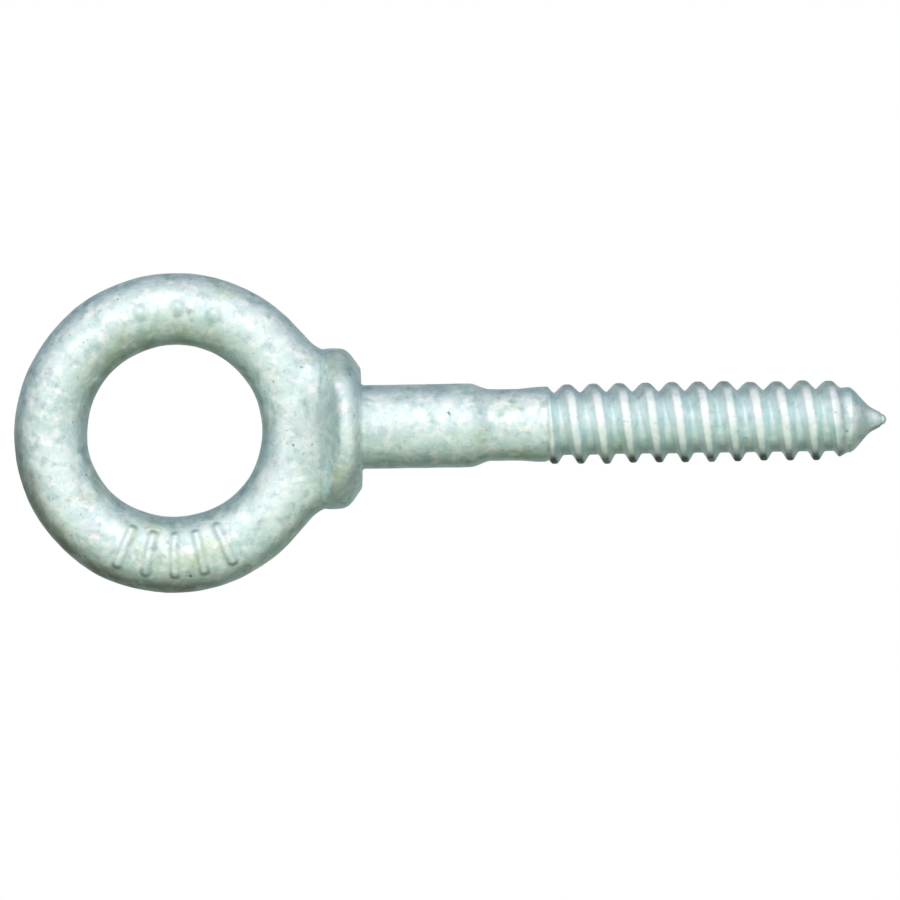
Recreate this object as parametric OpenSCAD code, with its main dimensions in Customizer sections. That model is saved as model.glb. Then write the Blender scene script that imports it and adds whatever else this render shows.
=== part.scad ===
// Shoulder screw eye bolt for timber, forged in one piece and hot-dip galvanised.
// Millimetres. +Z runs up through the eye, and the ring lies in the XZ plane with its hole along Y.
// The origin is on the shank's axis, in the plane of the shoulder's seat.

/* [Eye] */
// Outside diameter of the ring
ring_od = 50.3; // [48:0.1:54]
// Diameter of the hole through the ring
ring_id = 27.6; // [25:0.1:29]
// Height of the ring's centre above the seat
ring_rise = 29.3; // [28:0.1:32]
// Angle each side of straight down at which the ring's stock runs on into the neck
neck_angle = 54; // [50:1:60]
// Angle between the shank's axis and the neck's flanks
flank_lean = 40; // [36:1:44]
// How far the raised marks stand out of the ring
mark_height = 0.45; // [0.2:0.05:0.8]

/* [Shoulder] */
// Largest diameter of the shoulder
collar_d = 25.1; // [24.4:0.1:27]
// Thickness of the shoulder at the sides
collar_t = 6.0; // [5.4:0.1:6.6]
// Diameter of the flat seat under the shoulder
seat_d = 17.6; // [15.5:0.1:20]
// Thickness left at the front and back, under the valley between ring and shoulder
valley_floor = 4.0; // [3:0.1:5]

/* [Shank] */
// Diameter of the plain shank under the shoulder
shank_d = 13.2; // [12.8:0.1:13.4]
// Length of the plain shank
plain_len = 17.0; // [12:0.5:22]
// Length of the taper from the plain shank to the rolled blank
step_len = 2.9; // [1.5:0.1:4]
// Diameter of the rolled blank above the thread
blank_d = 11.3; // [10.8:0.1:12]
// Length of the rolled blank
blank_len = 9.0; // [6:0.5:12]

/* [Lag thread] */
// Diameter over the thread's crests
major_d = 12.9; // [12.2:0.1:13.1]
// Diameter at the thread's root
root_d = 9.7; // [9.2:0.1:10.6]
// Distance between neighbouring crests
pitch = 4.11; // [3.8:0.01:4.6]
// Length of the threaded part, without the point
thread_len = 47.9; // [40:0.1:52]

/* [Point] */
// Length of the blunt cone
cone_len = 3.1; // [2.4:0.1:3.6]
// Diameter of the cone's wide end
cone_d = 10.2; // [9.6:0.1:10.8]
// Length of the small nib in front of the cone
nib_len = 2.6; // [2:0.1:3.4]
// Half of the nib's taper angle
nib_angle = 28; // [20:1:32]
// Radius of the nib's rounded end
nib_tip_r = 0.9; // [0.6:0.05:1]

/* [Hidden] */
$fn = 96;

zinc = [0.80, 0.86, 0.86];
zinc_shade = [0.72, 0.79, 0.80];
zinc_dark = [0.62, 0.69, 0.69];

// Ring
ring_mean_r = (ring_od + ring_id) / 4;
stock_r = (ring_od - ring_id) / 4;
ring_angle = 360 - 2 * neck_angle;

// Shoulder: the rim is a barrel, and the edge of the underside slopes back from the seat
collar_r = collar_d / 2;
rim_barrel_r = 4.5;
rim_crest_z = 3.6;
underside_slope = 23;
core_r = 6.8;

// Valley: a trough along X that runs tangent into the front of the ring's stock
valley_r = 4.6;
valley_y = stock_r + valley_r;
valley_z = valley_floor + valley_r;
web_r = collar_r - 0.8;
web_half_y = stock_r + 1.8;

// Flanks: round struts from the shoulder's top edge into the ring's stock
flank_r = 5;
flank_foot_x = web_r - flank_r / cos(flank_lean);
flank_len = 9;

// Stations down the shank
step_z = -plain_len;
blank_z = step_z - step_len;
thread_z = blank_z - blank_len;
cone_z = thread_z - thread_len;
nib_z = cone_z - cone_len;

// Thread: shares of the pitch, and the lengths over which it rises and fades
crest_share = 0.12;
flank_share = 0.30;
flank_swell = 0.20;
first_crest_z = thread_z - 3.5;
run_in = 1.0;
run_out = 3.0;
sectors = 32;
rings = 70;

// Point
nib_tangent_z = nib_z - nib_len + nib_tip_r * (1 - sin(nib_angle));
nib_tangent_r = nib_tip_r * cos(nib_angle);
nib_base_r = nib_tangent_r + (nib_z - nib_tangent_z) * tan(nib_angle);

// Raised marks: plain round pips on one side of the ring and short ribs on the other
pip_r = 1.6;
pip_angles = [-14, 3, 20];
rib_r = 0.85;
rib_angles = [156, 168, 180, 192, 204];
rib_half_sweep = 28;

// A stretch of the ring's stock, from one angle above +X to another
module stock_arc(from, sweep) {
    translate([0, 0, ring_rise])
        rotate([90, 0, 0])
            rotate([0, 0, from])
                rotate_extrude(angle = sweep)
                    translate([ring_mean_r, 0])
                        circle(stock_r);
}

// Places a mark on the ring's front, at an angle below +X, with the stock's axis along Y of the mark
module on_ring(angle) {
    translate([0, 0, ring_rise])
        rotate([0, angle, 0])
            translate([ring_mean_r, 0, 0])
                children();
}

module pip() {
    translate([0, pip_r - stock_r - mark_height, 0])
        sphere(pip_r);
}

module rib() {
    rotate([0, 0, -90 - rib_half_sweep])
        rotate_extrude(angle = 2 * rib_half_sweep)
            translate([stock_r + mark_height - rib_r, 0])
                circle(rib_r);
}

module eye_ring() {
    color(zinc) union() {
        stock_arc(neck_angle - 90, ring_angle);
        for (angle = pip_angles) on_ring(angle) pip();
        for (angle = rib_angles) on_ring(angle) rib();
    }
}

// One straight flank, from the middle of its foot at the shoulder's top into the stock of the ring
module flank() {
    translate([flank_foot_x, 0, collar_t])
        rotate([0, flank_lean, 0])
            translate([0, 0, -flank_r])
                cylinder(r = flank_r, h = flank_len + flank_r);
}

module valley_cut() {
    for (side = [-1, 1])
        translate([-collar_d, side * valley_y, valley_z])
            rotate([0, 90, 0])
                cylinder(r = valley_r, h = 2 * collar_d);
}

module eye_neck() {
    color(zinc_shade) union() {
        difference() {
            union() {
                stock_arc(-90 - neck_angle, 2 * neck_angle);
                flank();
                mirror([1, 0, 0]) flank();
            }
            translate([-ring_od, -ring_od, collar_t - ring_od * 2])
                cube([ring_od * 2, ring_od * 2, ring_od * 2]);
        }
        difference() {
            intersection() {
                translate([0, 0, collar_t])
                    cylinder(r = web_r, h = valley_z - collar_t);
                translate([-collar_d, -web_half_y, 0])
                    cube([2 * collar_d, 2 * web_half_y, ring_rise]);
            }
            valley_cut();
        }
        cylinder(r = core_r, h = collar_t);
    }
}

module shoulder_collar() {
    color(zinc) difference() {
        rotate_extrude()
            intersection() {
                translate([collar_r - rim_barrel_r, rim_crest_z])
                    circle(rim_barrel_r);
                polygon([
                    [core_r, 0],
                    [seat_d / 2, 0],
                    [collar_r, (collar_r - seat_d / 2) * tan(underside_slope)],
                    [collar_r, collar_t],
                    [core_r, collar_t]
                ]);
            }
        valley_cut();
    }
}

module plain_shank() {
    color(zinc) translate([0, 0, step_z])
        cylinder(d = shank_d, h = plain_len);
}

module shank_step() {
    color(zinc_shade) translate([0, 0, blank_z])
        cylinder(d1 = blank_d, d2 = shank_d, h = step_len);
}

module rolled_blank() {
    color(zinc) translate([0, 0, thread_z])
        cylinder(d = blank_d, h = blank_len);
}

// Eases from 0 to 1 as t goes from 0 to 1
function ease(t) = 0.5 - 0.5 * cos(180 * min(max(t, 0), 1));

// Height of the ridge, from 0 at the root to 1 at the crest, a share of the pitch away from a crest.
// The rolled ridge came out broader towards +X.
function ridge(angle, share) =
    let (flank = flank_share + flank_swell * (1 + cos(angle)) / 2)
    1 - ease((abs(share) - crest_share / 2) / flank);

// Share of the pitch, from -0.5 to 0.5, between a point and the nearest crest of a right-hand helix
function from_crest(angle, z) =
    let (turns = (z - first_crest_z) / pitch - angle / 360) turns - round(turns);

// Radius of the threaded part, blended into the blank above it and the point below it
function thread_r(angle, z) =
    let (
        full = (root_d + (major_d - root_d) * ridge(angle, from_crest(angle, z))) / 2,
        risen = ease((thread_z - z) / run_in),
        faded = ease((cone_z + run_out - z) / run_out),
        upper = blank_d / 2 + (full - blank_d / 2) * risen
    )
    upper + (cone_d / 2 - upper) * faded;

module lag_thread() {
    points = [
        for (ring = [0 : rings], sector = [0 : sectors - 1])
            let (
                angle = 360 * sector / sectors,
                z = thread_z - thread_len * ring / rings,
                r = thread_r(angle, z)
            )
            [r * cos(angle), r * sin(angle), z]
    ];
    walls = [
        for (ring = [0 : rings - 1], sector = [0 : sectors - 1])
            let (
                next = (sector + 1) % sectors,
                top = ring * sectors,
                low = top + sectors
            )
            each [[top + sector, top + next, low + sector], [top + next, low + next, low + sector]]
    ];
    top_cap = [for (sector = [0 : sectors - 1]) sectors - 1 - sector];
    low_cap = [for (sector = [0 : sectors - 1]) rings * sectors + sector];
    color(zinc_dark) polyhedron(points, concat([top_cap, low_cap], walls));
}

module point_cone() {
    color(zinc_shade) translate([0, 0, nib_z])
        cylinder(r1 = nib_base_r, r2 = cone_d / 2, h = cone_len);
}

module point_nib() {
    color(zinc) rotate_extrude()
        intersection() {
            union() {
                translate([0, nib_tangent_z])
                    polygon([
                        [0, 0],
                        [nib_tangent_r, 0],
                        [nib_base_r, nib_z - nib_tangent_z],
                        [0, nib_z - nib_tangent_z]
                    ]);
                translate([0, nib_z - nib_len + nib_tip_r])
                    circle(nib_tip_r);
            }
            translate([0, nib_z - nib_len])
                square([nib_base_r, nib_len]);
        }
}

eye_ring();
eye_neck();
shoulder_collar();
plain_shank();
shank_step();
rolled_blank();
lag_thread();
point_cone();
point_nib();
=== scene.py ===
import math

import bpy
import numpy as np
from mathutils import Matrix, Vector


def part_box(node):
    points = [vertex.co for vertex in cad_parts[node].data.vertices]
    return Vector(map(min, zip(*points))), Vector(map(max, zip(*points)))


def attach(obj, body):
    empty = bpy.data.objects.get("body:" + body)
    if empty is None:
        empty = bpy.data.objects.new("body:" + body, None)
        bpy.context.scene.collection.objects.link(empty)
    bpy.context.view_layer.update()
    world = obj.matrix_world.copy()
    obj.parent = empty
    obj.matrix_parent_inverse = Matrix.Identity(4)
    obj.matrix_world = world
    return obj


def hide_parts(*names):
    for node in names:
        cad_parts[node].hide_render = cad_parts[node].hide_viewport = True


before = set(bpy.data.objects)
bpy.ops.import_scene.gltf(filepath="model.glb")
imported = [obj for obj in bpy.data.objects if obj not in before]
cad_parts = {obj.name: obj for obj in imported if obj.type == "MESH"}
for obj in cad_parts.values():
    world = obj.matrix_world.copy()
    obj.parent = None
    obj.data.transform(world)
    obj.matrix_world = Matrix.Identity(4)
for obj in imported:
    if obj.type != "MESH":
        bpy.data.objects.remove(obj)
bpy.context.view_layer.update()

MM = 0.001


# ---------------------------------------------------------------- sizes in millimetres, from the CAD boxes

def box_mm(node):
    """A CAD node's lowest and highest corners in millimetres."""
    low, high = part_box(node)
    return np.array(low) / MM, np.array(high) / MM


ring_low, ring_high = box_mm("eye_ring")
OUTER_R = ring_high[0]
STOCK_R = ring_high[1]
RING_R = OUTER_R - STOCK_R
RING_Z = ring_high[2] - OUTER_R
MARK_HEIGHT = -ring_low[1] - STOCK_R

collar_high = box_mm("shoulder_collar")[1]
COLLAR_R = collar_high[0]
COLLAR_T = collar_high[2]

step_low, step_high = box_mm("shank_step")
SHANK_R = step_high[0]
STEP_TOP, STEP_LOW = step_high[2], step_low[2]
BLANK_R = box_mm("rolled_blank")[1][0]

thread_low, thread_high = box_mm("lag_thread")
CREST_R = thread_high[0]
THREAD_TOP, THREAD_LOW = thread_high[2], thread_low[2]

cone_low, cone_high = box_mm("point_cone")
CONE_R = cone_high[0]
CONE_LOW = cone_low[2]
TIP_Z = box_mm("point_nib")[0][2]


# ---------------------------------------------------------------- noise

NOISE_CELLS = 48
SEED_SHIFT = 0.37


def lattice(seed):
    """Seeded random numbers from -1 to 1 at the corners of a cube of cells."""
    return np.random.default_rng(seed).uniform(-1, 1, (NOISE_CELLS,) * 3).astype(np.float32)


def noise(points, wavelength, seed):
    """Smooth value noise from -1 to 1 at points in millimetres, with lumps about one wavelength across."""
    grid = lattice(seed)
    at = points / wavelength + SEED_SHIFT * seed
    cell = np.floor(at).astype(int)
    t = (at - cell).astype(np.float32)
    t = t * t * (3 - 2 * t)
    total = np.zeros(len(points), np.float32)
    for corner in np.ndindex(2, 2, 2):
        weight = np.prod(np.where(corner, t, 1 - t), axis=1)
        i, j, k = ((cell + corner) % NOISE_CELLS).T
        total += weight * grid[i, j, k]
    return total


def unevenness(points, lumps):
    """How far a skin stands off its ideal shape, from lumps given as (height, wavelength, seed)."""
    return sum(height * noise(points, wavelength, seed) for height, wavelength, seed in lumps)


# ---------------------------------------------------------------- the forged eye, as a distance field

# Ring and neck: the forging is heavier towards -X, and leans a little that way
HEAVY_SIDE = 0.34
FLANK_ANGLE = math.radians(42.5)
FOOT_Z = 3.0
EYE_LEAN_AT_SEAT = 0.15
EYE_LEAN_AT_RING = 0.5

# Shoulder: its front and back are lower than its sides
SIDE_STARTS_X = 3
SEAT_EDGE_SIDE_R = 8.8
SEAT_EDGE_FRONT_R = 11.2
UNDERSIDE = math.radians(23)
RIM_BARREL_R = 4.5
RIM_CREST_SIDE_Z = 3.6
RIM_CREST_FRONT_Z = 2.0
RIM_TOP_ROUND = 0.9
RIM_LOW_ROUND = 1.4
FRONT_TOP_Z = 3.5
TOP_SLOPE = 0.25

# Valley between shoulder and ring
VALLEY_RISE = 4.8
VALLEY_TILT = math.radians(38)
VALLEY_ROUND = 2.2
SIDE_GROOVE_R = 1.0

# Raised marks, by their angle below +X
PIP_ANGLES = (-14, 3, 20)
PIP_R = 1.6
RIB_ANGLES = (156, 168, 180, 192, 204)
RIB_R = 0.85
RIB_SWEEP = math.radians(28)
MARK_BLEND = 0.35


def ease(t):
    """Eases from 0 to 1 as t goes from 0 to 1."""
    return 0.5 - 0.5 * np.cos(np.pi * np.clip(t, 0, 1))


def round_join(a, b, radius):
    """The union of two distances, with a fillet of this radius where they meet."""
    u, v = np.maximum(radius - a, 0), np.maximum(radius - b, 0)
    return np.maximum(radius, np.minimum(a, b)) - np.hypot(u, v)


def round_meet(a, b, radius):
    """The intersection of two distances, with a rounded edge of this radius."""
    u, v = np.maximum(radius + a, 0), np.maximum(radius + b, 0)
    return np.minimum(-radius, np.maximum(a, b)) + np.hypot(u, v)


def extra_stock(x, out):
    """How much is added to the radius of the ring's stock towards -X."""
    return HEAVY_SIDE * np.maximum(-x / np.maximum(out, 1), 0) ** 2


def eye_and_neck(x, y, z):
    """Round stock along the ring's centre line, which fans out below into the straight flanks."""
    z = z - RING_Z
    out = np.hypot(x, z)
    extra = extra_stock(x, out)
    x = np.abs(x)
    below = x * math.cos(FLANK_ANGLE) + z * math.sin(FLANK_ANGLE) < 0
    reach = np.where(below, x * math.sin(FLANK_ANGLE) - z * math.cos(FLANK_ANGLE), out)
    middle = RING_R - extra
    flat = np.maximum(np.maximum(reach - middle, middle - out), 0)
    return np.maximum(np.hypot(flat, y) - STOCK_R - extra, FOOT_Z - RING_Z - z)


def to_side(x):
    """0 along the front and back of the shoulder, and 1 at its sides."""
    return ease((np.abs(x) - SIDE_STARTS_X) / (COLLAR_R - SIDE_STARTS_X))


def collar(x, radius, z):
    """The shoulder, whose top is lower and whose rim is steeper in front and behind than at its sides."""
    side = to_side(x)
    top = FRONT_TOP_Z + (COLLAR_T - FRONT_TOP_Z) * side + TOP_SLOPE * (COLLAR_R - radius) * (1 - side)
    crest_z = RIM_CREST_FRONT_Z + (RIM_CREST_SIDE_Z - RIM_CREST_FRONT_Z) * side
    rim = np.hypot(np.maximum(radius - COLLAR_R + RIM_BARREL_R, 0), z - crest_z) - RIM_BARREL_R
    seat_edge = SEAT_EDGE_FRONT_R + (SEAT_EDGE_SIDE_R - SEAT_EDGE_FRONT_R) * side
    underside = (radius - seat_edge) * math.sin(UNDERSIDE) - z * math.cos(UNDERSIDE)
    body = round_meet(rim, z - top, RIM_TOP_ROUND)
    return round_meet(body, underside, RIM_LOW_ROUND)


def marks(x, y, z):
    """Plain pips on one side of the ring's front and ribs on the other."""
    angle = np.degrees(np.arctan2(-(z - RING_Z), x))
    radius = np.hypot(x, z - RING_Z)
    extra = extra_stock(x, radius)
    out = radius - RING_R + extra
    stock = STOCK_R + extra
    best = np.full(np.shape(x), np.inf, np.float32)
    for pip in PIP_ANGLES:
        along = np.radians(angle - pip) * RING_R
        up = y + stock + MARK_HEIGHT - PIP_R
        best = np.minimum(best, np.sqrt(along**2 + out**2 + up**2) - PIP_R)
    section = np.arctan2(out, -y)
    lift = np.hypot(out, y) - (stock + MARK_HEIGHT - RIB_R)
    past = np.maximum(np.abs(section) - RIB_SWEEP, 0) * STOCK_R
    for rib in RIB_ANGLES:
        turn = (angle - rib + 180) % 360 - 180
        along = np.radians(turn) * (RING_R + out)
        best = np.minimum(best, np.sqrt(along**2 + lift**2 + past**2) - RIB_R)
    return best


def forged_eye(points):
    """Distance in millimetres from points to the skin of ring, neck and shoulder as one forging."""
    x, y, z = points[..., 0], points[..., 1], points[..., 2]
    x = x + EYE_LEAN_AT_SEAT + (EYE_LEAN_AT_RING - EYE_LEAN_AT_SEAT) * z / RING_Z
    eye = eye_and_neck(x, y, z)
    shoulder = collar(x, np.hypot(x, y), z)
    low_valley = shoulder - VALLEY_RISE * (1 - to_side(x))
    valley = eye * math.cos(VALLEY_TILT) + low_valley * math.sin(VALLEY_TILT)
    body = round_join(round_join(eye, shoulder, SIDE_GROOVE_R), valley, VALLEY_ROUND)
    body = np.maximum(body, -z)
    return round_join(body, marks(x, y, z), MARK_BLEND)


# ---------------------------------------------------------------- skin of a distance field

# The twelve edges of a cell, as pairs of its corners
EDGES = [(a, b) for a in np.ndindex(2, 2, 2) for b in np.ndindex(2, 2, 2)
         if sum(b) - sum(a) == 1 and all(q >= p for p, q in zip(a, b))]


def sample(field, low, high, step):
    """The field on a grid from low to high, worked out one slab at a time."""
    axes = [np.arange(a, b + step, step, dtype=np.float32) for a, b in zip(low, high)]
    slabs = []
    for x in axes[0]:
        y, z = np.meshgrid(axes[1], axes[2], indexing="ij")
        slabs.append(field(np.stack([np.full_like(y, x), y, z], -1)))
    return np.array(slabs, np.float32)


def surface_net(field, low, high, step):
    """Quads over the field's zero surface, one corner for each grid cell that the surface crosses."""
    value = sample(field, low, high, step)
    inside = value < 0
    shape = np.array(value.shape) - 1
    count = np.zeros(shape, np.int8)
    for corner in np.ndindex(2, 2, 2):
        count += inside[tuple(slice(c, c + n) for c, n in zip(corner, shape))]
    cells = np.argwhere((count > 0) & (count < 8))
    number = np.full(shape, -1, np.int64)
    number[tuple(cells.T)] = np.arange(len(cells))

    total = np.zeros((len(cells), 3))
    crossings = np.zeros(len(cells))
    for a, b in EDGES:
        va = value[tuple((cells + a).T)]
        vb = value[tuple((cells + b).T)]
        cross = (va < 0) != (vb < 0)
        t = np.where(cross, va / np.where(cross, va - vb, 1), 0)[:, None]
        total += np.where(cross[:, None], np.array(a) + t * (np.array(b) - a), 0)
        crossings += cross
    points = low + step * (cells + total / crossings[:, None])

    quads = []
    for axis in range(3):
        u, v = (axis + 1) % 3, (axis + 2) % 3
        near = inside.take(range(shape[axis]), axis)
        far = inside.take(range(1, shape[axis] + 1), axis)
        at = np.argwhere(near != far)
        at = at[(at[:, u] > 0) & (at[:, v] > 0) & (at[:, u] < shape[u]) & (at[:, v] < shape[v])]
        du, dv = np.eye(3, dtype=int)[u], np.eye(3, dtype=int)[v]
        ring = [number[tuple((at - s * du - t * dv).T)] for s, t in ((0, 0), (1, 0), (1, 1), (0, 1))]
        quad = np.stack(ring, 1)
        leaves = near[tuple(at.T)]
        quads.append(np.where(leaves[:, None], quad, quad[:, ::-1]))
    return points, np.concatenate(quads)


def slope(field, points, step=0.02):
    """The field's gradient, which points out of the surface."""
    p = points.astype(np.float64)
    return np.stack([(field(p + d) - field(p - d)) / (2 * step) for d in np.eye(3) * step], -1)


def settle(field, points, rounds=3, flattest=0.2):
    """Moves points straight onto the field's zero surface, with steps limited where the field is flat."""
    for _ in range(rounds):
        g = slope(field, points)
        size = np.maximum((g * g).sum(1), flattest)
        points = points - g * (field(points) / size)[:, None]
    return points


# ---------------------------------------------------------------- meshes

def make_piece(name, points_mm, faces, replaced, tones=()):
    """A zinc mesh piece on the root body, in place of the replaced nodes.

    The edges of its end caps are sharp, and the rest is smooth. Tones are named numbers for each corner.
    """
    mesh = bpy.data.meshes.new(name)
    mesh.vertices.add(len(points_mm))
    mesh.vertices.foreach_set("co", (points_mm * MM).astype(np.float32).ravel())
    sizes = np.array([len(f) for f in faces])
    mesh.loops.add(int(sizes.sum()))
    mesh.loops.foreach_set("vertex_index", np.concatenate(faces).astype(np.int32))
    mesh.polygons.add(len(faces))
    starts = np.concatenate([[0], sizes.cumsum()[:-1]])
    mesh.polygons.foreach_set("loop_start", starts.astype(np.int32))
    mesh.update(calc_edges=True)
    mesh.validate()
    mesh.shade_smooth()
    caps = {key for polygon in mesh.polygons if polygon.loop_total > 4 for key in polygon.edge_keys}
    if caps:
        sharp = mesh.attributes.new("sharp_edge", "BOOLEAN", "EDGE")
        sharp.data.foreach_set("value", [edge.key in caps for edge in mesh.edges])
    for tone, values in tones:
        attribute = mesh.attributes.new(tone, "FLOAT", "POINT")
        attribute.data.foreach_set("value", values.astype(np.float32))
    piece = bpy.data.objects.new(name, mesh)
    bpy.context.scene.collection.objects.link(piece)
    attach(piece, "root")
    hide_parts(*replaced)
    mesh.materials.append(zinc())


GRID_STEP = 0.28
GRID_MARGIN = 1.5
EYE_LUMPS = ((0.10, 11, 3), (0.05, 4.2, 5), (0.034, 1.7, 7), (0.013, 0.85, 9))


def build_eye():
    """Ring, neck and shoulder as one skin, uneven all over except on the flat seat."""
    low = np.array([-OUTER_R, -COLLAR_R, 0]) - GRID_MARGIN
    high = np.array([OUTER_R, COLLAR_R, RING_Z + OUTER_R]) + GRID_MARGIN
    points, quads = surface_net(forged_eye, low, high, GRID_STEP)
    points = settle(forged_eye, points)
    normal = slope(forged_eye, points)
    normal /= np.linalg.norm(normal, axis=1)[:, None]
    above_seat = np.clip(points[:, 2], 0, 1)
    points = points + normal * (unevenness(points, EYE_LUMPS) * above_seat)[:, None]
    make_piece("forged_eye", points, list(quads),
               ("eye_ring", "eye_neck", "shoulder_collar"))


# ---------------------------------------------------------------- shank, thread and point, as turned skins

# Turned skins: corners round the axis, distances between rings of corners, and unevenness
SECTORS = 192
BLANK_STEP = 0.25
THREAD_STEP = 0.18
POINT_STEP = 0.15
SHANK_LUMPS = ((0.05, 7, 11), (0.03, 2.6, 13), (0.012, 0.9, 15))

# Thread: shares are of the pitch
PITCH = 4.11
FIRST_CREST_Z = THREAD_TOP - 3.5
ROOT_R = 4.85
CREST_SHARE = 0.12
CREST_SWELL = 0.09
FLANK_SHARE = 0.30
FLANK_SWELL = 0.20
RUN_IN = 1.0
RUN_OUT = 3.0
CREST_WEAR = 0.10
WEAR_LENGTH = 4
WEAR_WAVELENGTH = 1.5
WEAR_SEED = 31

# Shank: its skin starts inside the shoulder, the step ends softly and the blank flares towards the thread
SHANK_FILLET = 0.6
BURIED = 1.2
STEP_SOFTENING = 0.5
FLARE = 0.25
FLARE_LENGTH = 4
FLARE_ABOVE_THREAD = 4.5

# Point
CONE_SOFTENING = 0.4
NIB_TIP_R = 0.9
NIB_SLOPE = 0.524
TIP_CAP = 0.5
TIP_CUT = 0.01
TIP_RINGS = 8

# Painted light on the thread: the painted highlight and painted shade bands lie a little towards the
# shoulder from crest and root.
# Painted shade darkens the crests towards -X and faintly so towards +X, from these distances off the axis
# and over these lengths.
TONE_SHIFT = 0.6
DARK_FROM = 4.6
DARK_RISE = 1.3
FAINT_FROM = 5.0
FAINT_RISE = 1.2
FAINT_SHARE = 0.4


def ridge(angle, z):
    """Height of the thread's ridge from 0 to 1, for a right-hand helix that is broader towards +X."""
    turns = (z - FIRST_CREST_Z) / PITCH - angle / (2 * np.pi)
    share = np.abs(turns - np.round(turns))
    swell = CREST_SWELL * np.sin(angle) ** 2
    crest = CREST_SHARE + swell
    flank = FLANK_SHARE + FLANK_SWELL * (0.5 + 0.5 * np.cos(angle)) - swell / 2
    return 1 - ease((share - crest / 2) / flank)


def blank_radius(z):
    """Radius without the thread, from the shoulder down to the start of the thread."""
    top = np.clip(SHANK_FILLET + z, 0, SHANK_FILLET)
    fillet = SHANK_FILLET - np.sqrt(SHANK_FILLET**2 - top**2)
    step = ease((STEP_TOP - z) / (STEP_TOP - STEP_LOW + STEP_SOFTENING))
    flare = FLARE * ease((THREAD_TOP + FLARE_ABOVE_THREAD - z) / FLARE_LENGTH)
    return SHANK_R + fillet + (BLANK_R - SHANK_R) * step + flare


def thread_radius(angle, z):
    """Radius of the threaded part, with crests of uneven height, blended into the blank and the point."""
    place = np.stack([np.cos(angle), np.sin(angle), z / WEAR_LENGTH], -1).reshape(-1, 3)
    uneven = noise(place, WEAR_WAVELENGTH, WEAR_SEED).reshape(np.shape(z))
    worn = 1 - CREST_WEAR + CREST_WEAR * uneven
    full = ROOT_R + (CREST_R - ROOT_R) * worn * ridge(angle, z)
    risen = ease((THREAD_TOP - z) / RUN_IN)
    faded = ease((THREAD_LOW + RUN_OUT - z) / RUN_OUT)
    upper = blank_radius(z) + (full - blank_radius(z)) * risen
    return upper + (CONE_R - upper) * faded


def point_radius(z):
    """The blunt cone, which curves into a small nib with a rounded end."""
    nib_top = NIB_TIP_R + NIB_SLOPE * (THREAD_LOW - TIP_Z - NIB_TIP_R / 2)
    nib = NIB_TIP_R + NIB_SLOPE * (z - TIP_Z - NIB_TIP_R / 2)
    cone = (CONE_R - nib_top) * (1 - ease((THREAD_LOW - z) / (THREAD_LOW - CONE_LOW + CONE_SOFTENING)))
    rounded = np.sqrt(np.maximum(NIB_TIP_R**2 - (TIP_Z + NIB_TIP_R - z) ** 2, 0))
    return np.where(z < TIP_Z + NIB_TIP_R, np.minimum(rounded, nib + cone), nib + cone)


def thread_painted_light(angle, z):
    """Amounts for painted shade in the roots, a painted highlight on the crests and painted shade on the
    crests at either side.
    """
    height = ridge(angle, z - TONE_SHIFT)
    # The root's painted shade has faded out at 0.72 of the ridge's height, and the crest's painted
    # highlight starts at a third of it
    root = ease(1.3 - 1.8 * height)
    crest = ease(1.5 * height - 0.5)
    across = CREST_R * np.cos(angle) * ridge(angle, z)
    dark = ease((-across - DARK_FROM) / DARK_RISE)
    faint = FAINT_SHARE * ease((across - FAINT_FROM) / FAINT_RISE)
    present = ease((THREAD_TOP - z) / RUN_IN) * ease((z - THREAD_LOW) / RUN_OUT)
    # Painted shade in the roots, a painted highlight on the crests and painted shade on the crests at
    # either side
    amounts = {"painted_root_shade": root, "painted_crest_highlight": crest, "painted_crest_edge_shade": dark + faint}
    return [(name, (amount * present).ravel()) for name, amount in amounts.items()]


def lathe(name, radius, heights, replaced, tones=None):
    """A closed skin of radius(angle, z) round the shank's axis, through the heights from top to bottom."""
    angle, z = np.meshgrid(np.arange(SECTORS) * 2 * np.pi / SECTORS, heights)
    r = radius(angle, z)
    points = np.stack([r * np.cos(angle), r * np.sin(angle), z], -1).reshape(-1, 3)
    out = np.stack([np.cos(angle), np.sin(angle), 0 * z], -1).reshape(-1, 3)
    points = points + out * unevenness(points, SHANK_LUMPS)[:, None]
    row = np.arange(SECTORS)
    faces = []
    for k in range(len(heights) - 1):
        top, low = k * SECTORS + row, (k + 1) * SECTORS + row
        faces += list(np.stack([top, low, np.roll(low, -1), np.roll(top, -1)], 1))
    faces.append(row)
    faces.append((len(heights) - 1) * SECTORS + row[::-1])
    make_piece(name, points, faces, replaced, tones(angle, z) if tones else ())


def stations(top, low, step):
    """Even heights from top to low, about one step apart."""
    return np.linspace(top, low, int(round((top - low) / step)) + 1)


def build_shank():
    """The shank, the thread and the point, as three turned skins that meet end to end."""
    lathe("screw_shank", lambda angle, z: blank_radius(z), stations(BURIED, THREAD_TOP, BLANK_STEP),
          ("plain_shank", "shank_step", "rolled_blank"))
    lathe("lag_thread_skin", thread_radius, stations(THREAD_TOP, THREAD_LOW, THREAD_STEP),
          ("lag_thread",), thread_painted_light)
    # Heights in the rounded end crowd together towards the tip
    crowded = 1 - np.sin(np.linspace(0, np.pi / 2, TIP_RINGS)[1:])
    tip = TIP_Z + TIP_CUT + (TIP_CAP - TIP_CUT) * crowded
    point = np.concatenate([stations(THREAD_LOW, TIP_Z + TIP_CAP, POINT_STEP), tip])
    lathe("drive_point", lambda angle, z: point_radius(z), point,
          ("point_cone", "point_nib"))


# ---------------------------------------------------------------- shader nodes

def feed(tree, socket, value):
    """Gives a socket another node's output, a colour or a number."""
    if isinstance(value, bpy.types.NodeSocket):
        tree.links.new(value, socket)
    else:
        socket.default_value = (*value, 1) if isinstance(value, tuple) else value


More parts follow.
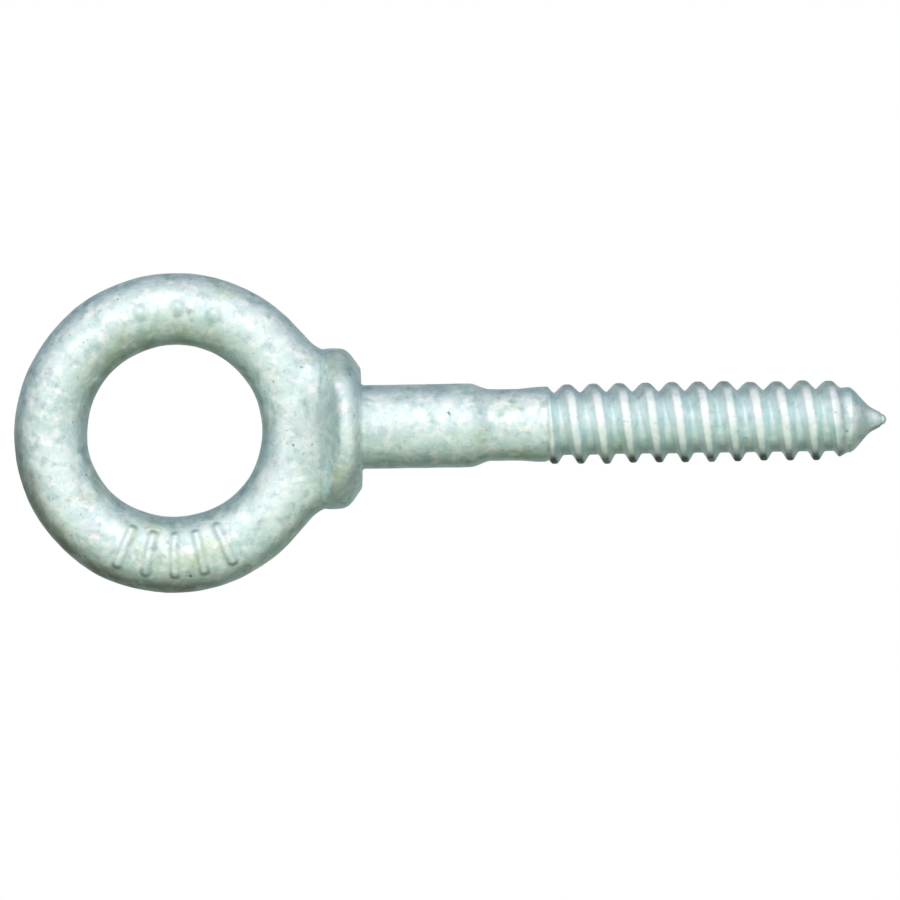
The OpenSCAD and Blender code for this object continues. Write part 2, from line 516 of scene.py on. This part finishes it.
def rise(tree, value, low, high, interpolation="LINEAR"):
    """0 to 1 as the value goes from low to high."""
    node = tree.nodes.new("ShaderNodeMapRange")
    node.interpolation_type = interpolation
    node.inputs["From Min"].default_value = low
    node.inputs["From Max"].default_value = high
    feed(tree, node.inputs["Value"], value)
    return node.outputs["Result"]


def blend(tree, base, colour, amount):
    """The base colour, with the other colour laid over it by this amount."""
    node = tree.nodes.new("ShaderNodeMix")
    node.data_type = "RGBA"
    feed(tree, node.inputs["Factor"], amount)
    feed(tree, node.inputs["A"], base)
    feed(tree, node.inputs["B"], colour)
    return node.outputs["Result"]


def vector(tree, operation, value, operand, output="Vector"):
    """A vector operation on another node's output and a fixed vector."""
    node = tree.nodes.new("ShaderNodeVectorMath")
    node.operation = operation
    node.inputs[1].default_value = operand
    tree.links.new(value, node.inputs[0])
    return node.outputs[output]


def times(tree, a, b):
    """The product of two outputs."""
    node = tree.nodes.new("ShaderNodeMath")
    node.operation = "MULTIPLY"
    tree.links.new(a, node.inputs[0])
    tree.links.new(b, node.inputs[1])
    return node.outputs["Value"]


def mesh_tone(tree, name):
    """A named amount of painted light on the mesh's corners, and 0 on a mesh without it."""
    node = tree.nodes.new("ShaderNodeAttribute")
    node.attribute_name = name
    return node.outputs["Fac"]


# ---------------------------------------------------------------- zinc

BASE = (0.82, 0.95, 0.95)
TEAL = (0.57, 0.75, 0.78)
LILAC = (0.72, 0.77, 0.85)
OLIVE = (0.54, 0.65, 0.38)
WHITE = (0.95, 1.00, 1.00)
SLATE = (0.30, 0.43, 0.44)
SPECK = (0.16, 0.20, 0.18)
# Painted shade for the ring's bore and outer edge, then the thread's painted highlight on the crests,
# painted shade in the roots and painted shade on the crests' sides
BORE_PAINTED_SHADE = (0.40, 0.48, 0.36)
EDGE_PAINTED_SHADE = (0.34, 0.37, 0.32)
CREST_PAINTED_HIGHLIGHT = (0.90, 0.97, 0.98)
ROOT_PAINTED_SHADE = (0.62, 0.80, 0.82)
CREST_EDGE_PAINTED_SHADE = (0.13, 0.15, 0.15)
METALLIC = 0.9
SMOOTHEST = 0.36
ROUGHEST = 0.52
BUMP_HEIGHT = 0.18
BUMP_STRENGTH = 0.8
PATCH_ROUGHNESS = 0.6


def cloud(tree, place, scale, detail, seed, low, high):
    """Patches, about scale of them to a metre, that rise from 0 to 1 between two levels of the noise."""
    node = tree.nodes.new("ShaderNodeTexNoise")
    node.noise_dimensions = "4D"
    node.inputs["W"].default_value = seed
    node.inputs["Scale"].default_value = scale
    node.inputs["Detail"].default_value = detail
    node.inputs["Roughness"].default_value = PATCH_ROUGHNESS
    tree.links.new(place, node.inputs["Vector"])
    return rise(tree, node.outputs["Fac"], low, high)


def ring_painted_shade(tree, place):
    """Where painted shade darkens the ring's bore, towards +X, and its outer edge, towards -X and +Z.

    The painted shade starts and is full at shares of the stock's radius from its centre line, and at
    distances from the middle of the ring in the shade's direction.
    """
    from_ring = vector(tree, "SUBTRACT", place, (0, 0, RING_Z * MM))
    from_ring = vector(tree, "MULTIPLY", from_ring, (1, 0, 1))
    radius = vector(tree, "LENGTH", from_ring, (0, 0, 0), "Value")
    inner = rise(tree, radius, (RING_R - 0.25 * STOCK_R) * MM, (RING_R - 0.85 * STOCK_R) * MM)
    outer = rise(tree, radius, (RING_R + 0.4 * STOCK_R) * MM, (RING_R + 0.95 * STOCK_R) * MM)
    towards_bore_shade = vector(tree, "DOT_PRODUCT", from_ring, (0.95, 0, 0.3), "Value")
    towards_edge_shade = vector(tree, "DOT_PRODUCT", from_ring, (-0.8, 0, 0.6), "Value")
    bore = times(tree, inner, rise(tree, towards_bore_shade, 3 * MM, 15 * MM))
    edge = times(tree, outer, rise(tree, towards_edge_shade, 12 * MM, 19 * MM))
    return bore, edge


def zinc_colour(tree, place):
    """The zinc's base colour, with spangle, painted shade on the ring, the thread's painted highlight and
    shade, and specks laid over it.
    """
    bore, edge = ring_painted_shade(tree, place)

    def patches(*numbers):
        return cloud(tree, place, *numbers)

    def patches_on(mask, *numbers):
        return times(tree, mask, patches(*numbers))

    layers = (
        (TEAL, patches(250, 5, 1.0, 0.34, 0.66)),
        (LILAC, patches(240, 4, 4.0, 0.54, 0.80)),
        (OLIVE, patches(130, 5, 7.0, 0.55, 0.78)),
        (WHITE, patches(560, 3, 9.0, 0.48, 0.68)),
        (SLATE, patches(520, 4, 10.0, 0.52, 0.82)),
        # Painted shade in the ring's bore and on its outer edge
        (BORE_PAINTED_SHADE, patches_on(bore, 420, 5, 23.0, 0.30, 0.62)),
        (EDGE_PAINTED_SHADE, patches_on(edge, 420, 5, 24.0, 0.25, 0.60)),
        # The thread's painted highlight on the crests, painted shade in the roots and painted shade on the
        # crests at either side
        (CREST_PAINTED_HIGHLIGHT, patches_on(mesh_tone(tree, "painted_crest_highlight"), 420, 4, 27.0, 0.30, 0.65)),
        (ROOT_PAINTED_SHADE, patches_on(mesh_tone(tree, "painted_root_shade"), 500, 4, 25.0, 0.30, 0.70)),
        (CREST_EDGE_PAINTED_SHADE, patches_on(mesh_tone(tree, "painted_crest_edge_shade"), 600, 4, 26.0, 0.15, 0.50)),
        (SPECK, patches(900, 2, 12.0, 0.68, 0.78)),
    )
    colour = BASE
    for over, amount in layers:
        colour = blend(tree, colour, over, amount)
    return colour


def zinc():
    """Hot-dip galvanising, one material that all the pieces share."""
    material = bpy.data.materials.get("hot_dip_zinc")
    if material:
        return material
    material = bpy.data.materials.new("hot_dip_zinc")
    material.use_nodes = True
    tree = material.node_tree
    shader = tree.nodes["Principled BSDF"]
    place = tree.nodes.new("ShaderNodeTexCoord").outputs["Object"]
    feed(tree, shader.inputs["Base Color"], zinc_colour(tree, place))
    shader.inputs["Metallic"].default_value = METALLIC

    rough = rise(tree, cloud(tree, place, 340, 4, 15.0, 0.25, 0.75), 0, 1)
    rough.node.inputs["To Min"].default_value = SMOOTHEST
    rough.node.inputs["To Max"].default_value = ROUGHEST
    feed(tree, shader.inputs["Roughness"], rough)

    bump = tree.nodes.new("ShaderNodeBump")
    bump.inputs["Distance"].default_value = BUMP_HEIGHT * MM
    bump.inputs["Strength"].default_value = BUMP_STRENGTH
    feed(tree, bump.inputs["Height"], cloud(tree, place, 700, 6, 20.0, 0, 1))
    feed(tree, shader.inputs["Normal"], bump.outputs["Normal"])
    return material


# ---------------------------------------------------------------- camera, light and floor

LENS = 200
SENSOR = 36
VIEW_WIDTH = 0.1414
VIEW_ROLL = math.radians(0.85)
AIM = Vector((-0.0038, 0, -0.0139))


def look(location, back, up):
    """A world matrix for something that faces away from back, with up as its upper side."""
    z = Vector(back).normalized()
    x = Vector(up).cross(z).normalized()
    turn = Matrix((x, z.cross(x), z)).transposed().to_4x4()
    return Matrix.Translation(location) @ turn


def add_camera():
    """Looks square at the ring, rolled so that the shank points right."""
    data = bpy.data.cameras.new("camera")
    data.lens, data.sensor_width = LENS, SENSOR
    data.clip_start, data.clip_end = 0.01, 20
    camera = bpy.data.objects.new("camera", data)
    bpy.context.scene.collection.objects.link(camera)
    bpy.context.scene.camera = camera
    back = Vector((0, -1, 0))
    up = Vector((math.cos(VIEW_ROLL), 0, -math.sin(VIEW_ROLL)))
    distance = VIEW_WIDTH * LENS / SENSOR
    camera.matrix_world = look(AIM + back * distance, back, up)


def add_light(name, direction, distance, size, power, colour):
    """A square soft light that faces the part from this direction."""
    data = bpy.data.lights.new(name, "AREA")
    data.size, data.energy, data.color = size, power, colour
    light = bpy.data.objects.new(name, data)
    bpy.context.scene.collection.objects.link(light)
    out = Vector(direction).normalized()
    side = Vector((1, 0, 0)) if abs(out.x) < 0.9 else Vector((0, 0, 1))
    light.matrix_world = look(out * distance, out, side)


# The tent that the part reflects: where its light is centred, and its colours. Upper is towards +X,
# which the camera sees above.
LIGHT_FROM = (0.20, -0.97, -0.03)
UPPER_FRONT = (1.05, 1.01, 1.00)
LOWER_FRONT = (0.81, 0.88, 0.75)
UPPER_DIM = (0.075, 0.17, 0.22)
LOWER_DIM = (0.07, 0.10, 0.055)
BEHIND = (0.38, 0.44, 0.43)


def tent_colour(tree):
    """Bright in front, bluish above, olive below and grey behind, as the camera sees it."""
    def soft(value, low, high):
        return rise(tree, value, low, high, "SMOOTHSTEP")

    direction = tree.nodes.new("ShaderNodeTexCoord").outputs["Generated"]
    facing = vector(tree, "DOT_PRODUCT", direction, LIGHT_FROM, "Value")
    apart = tree.nodes.new("ShaderNodeSeparateXYZ")
    tree.links.new(direction, apart.inputs[0])
    up = apart.outputs["X"]
    back = apart.outputs["Y"]
    dim = blend(tree, LOWER_DIM, UPPER_DIM, soft(up, -0.8, 0.8))
    front = blend(tree, LOWER_FRONT, UPPER_FRONT, soft(up, -0.7, 0.35))
    lit = blend(tree, dim, front, soft(facing, -0.6, 0.75))
    return blend(tree, lit, BEHIND, soft(back, 0.5, 1.0))


def add_room():
    """White for the camera, and the tent for light and reflections."""
    world = bpy.data.worlds.new("room")
    bpy.context.scene.world = world
    world.use_nodes = True
    tree = world.node_tree
    backdrop = tree.nodes["Background"]
    backdrop.inputs["Color"].default_value = (1, 1, 1, 1)
    tent = tree.nodes.new("ShaderNodeBackground")
    tree.links.new(tent_colour(tree), tent.inputs["Color"])
    mix = tree.nodes.new("ShaderNodeMixShader")
    tree.links.new(tree.nodes.new("ShaderNodeLightPath").outputs["Is Camera Ray"], mix.inputs["Fac"])
    tree.links.new(tent.outputs[0], mix.inputs[1])
    tree.links.new(backdrop.outputs[0], mix.inputs[2])
    tree.links.new(mix.outputs[0], tree.nodes["World Output"].inputs["Surface"])


FLOOR_R = 0.6
FLOOR_Z = -0.16
FLOOR_CORNERS = 64


def pale_paint():
    """The floor's matt off-white, with a weak glow that keeps it pale."""
    paint = bpy.data.materials.new("pale_floor")
    paint.use_nodes = True
    shader = paint.node_tree.nodes["Principled BSDF"]
    shader.inputs["Base Color"].default_value = (0.93, 0.90, 0.92, 1)
    shader.inputs["Roughness"].default_value = 0.8
    shader.inputs["Emission Color"].default_value = (1, 1, 1, 1)
    shader.inputs["Emission Strength"].default_value = 0.3
    return paint


def add_floor():
    """A pale round floor below the point, which stays out of the part's reflections."""
    turns = [2 * math.pi * k / FLOOR_CORNERS for k in range(FLOOR_CORNERS)]
    ring = [(FLOOR_R * math.cos(turn), FLOOR_R * math.sin(turn), FLOOR_Z) for turn in turns]
    mesh = bpy.data.meshes.new("floor")
    mesh.from_pydata(ring, [], [tuple(range(FLOOR_CORNERS))])
    mesh.materials.append(pale_paint())
    floor = bpy.data.objects.new("floor", mesh)
    bpy.context.scene.collection.objects.link(floor)
    floor.visible_glossy = floor.visible_shadow = False


bpy.context.scene.view_settings.view_transform = "Standard"
add_camera()
add_room()
add_light("key_softbox", direction=(0.55, -1.0, 0.1), distance=0.9, size=0.6, power=0.8,
          colour=(1.0, 0.92, 0.90))
add_floor()
build_eye()
build_shank()
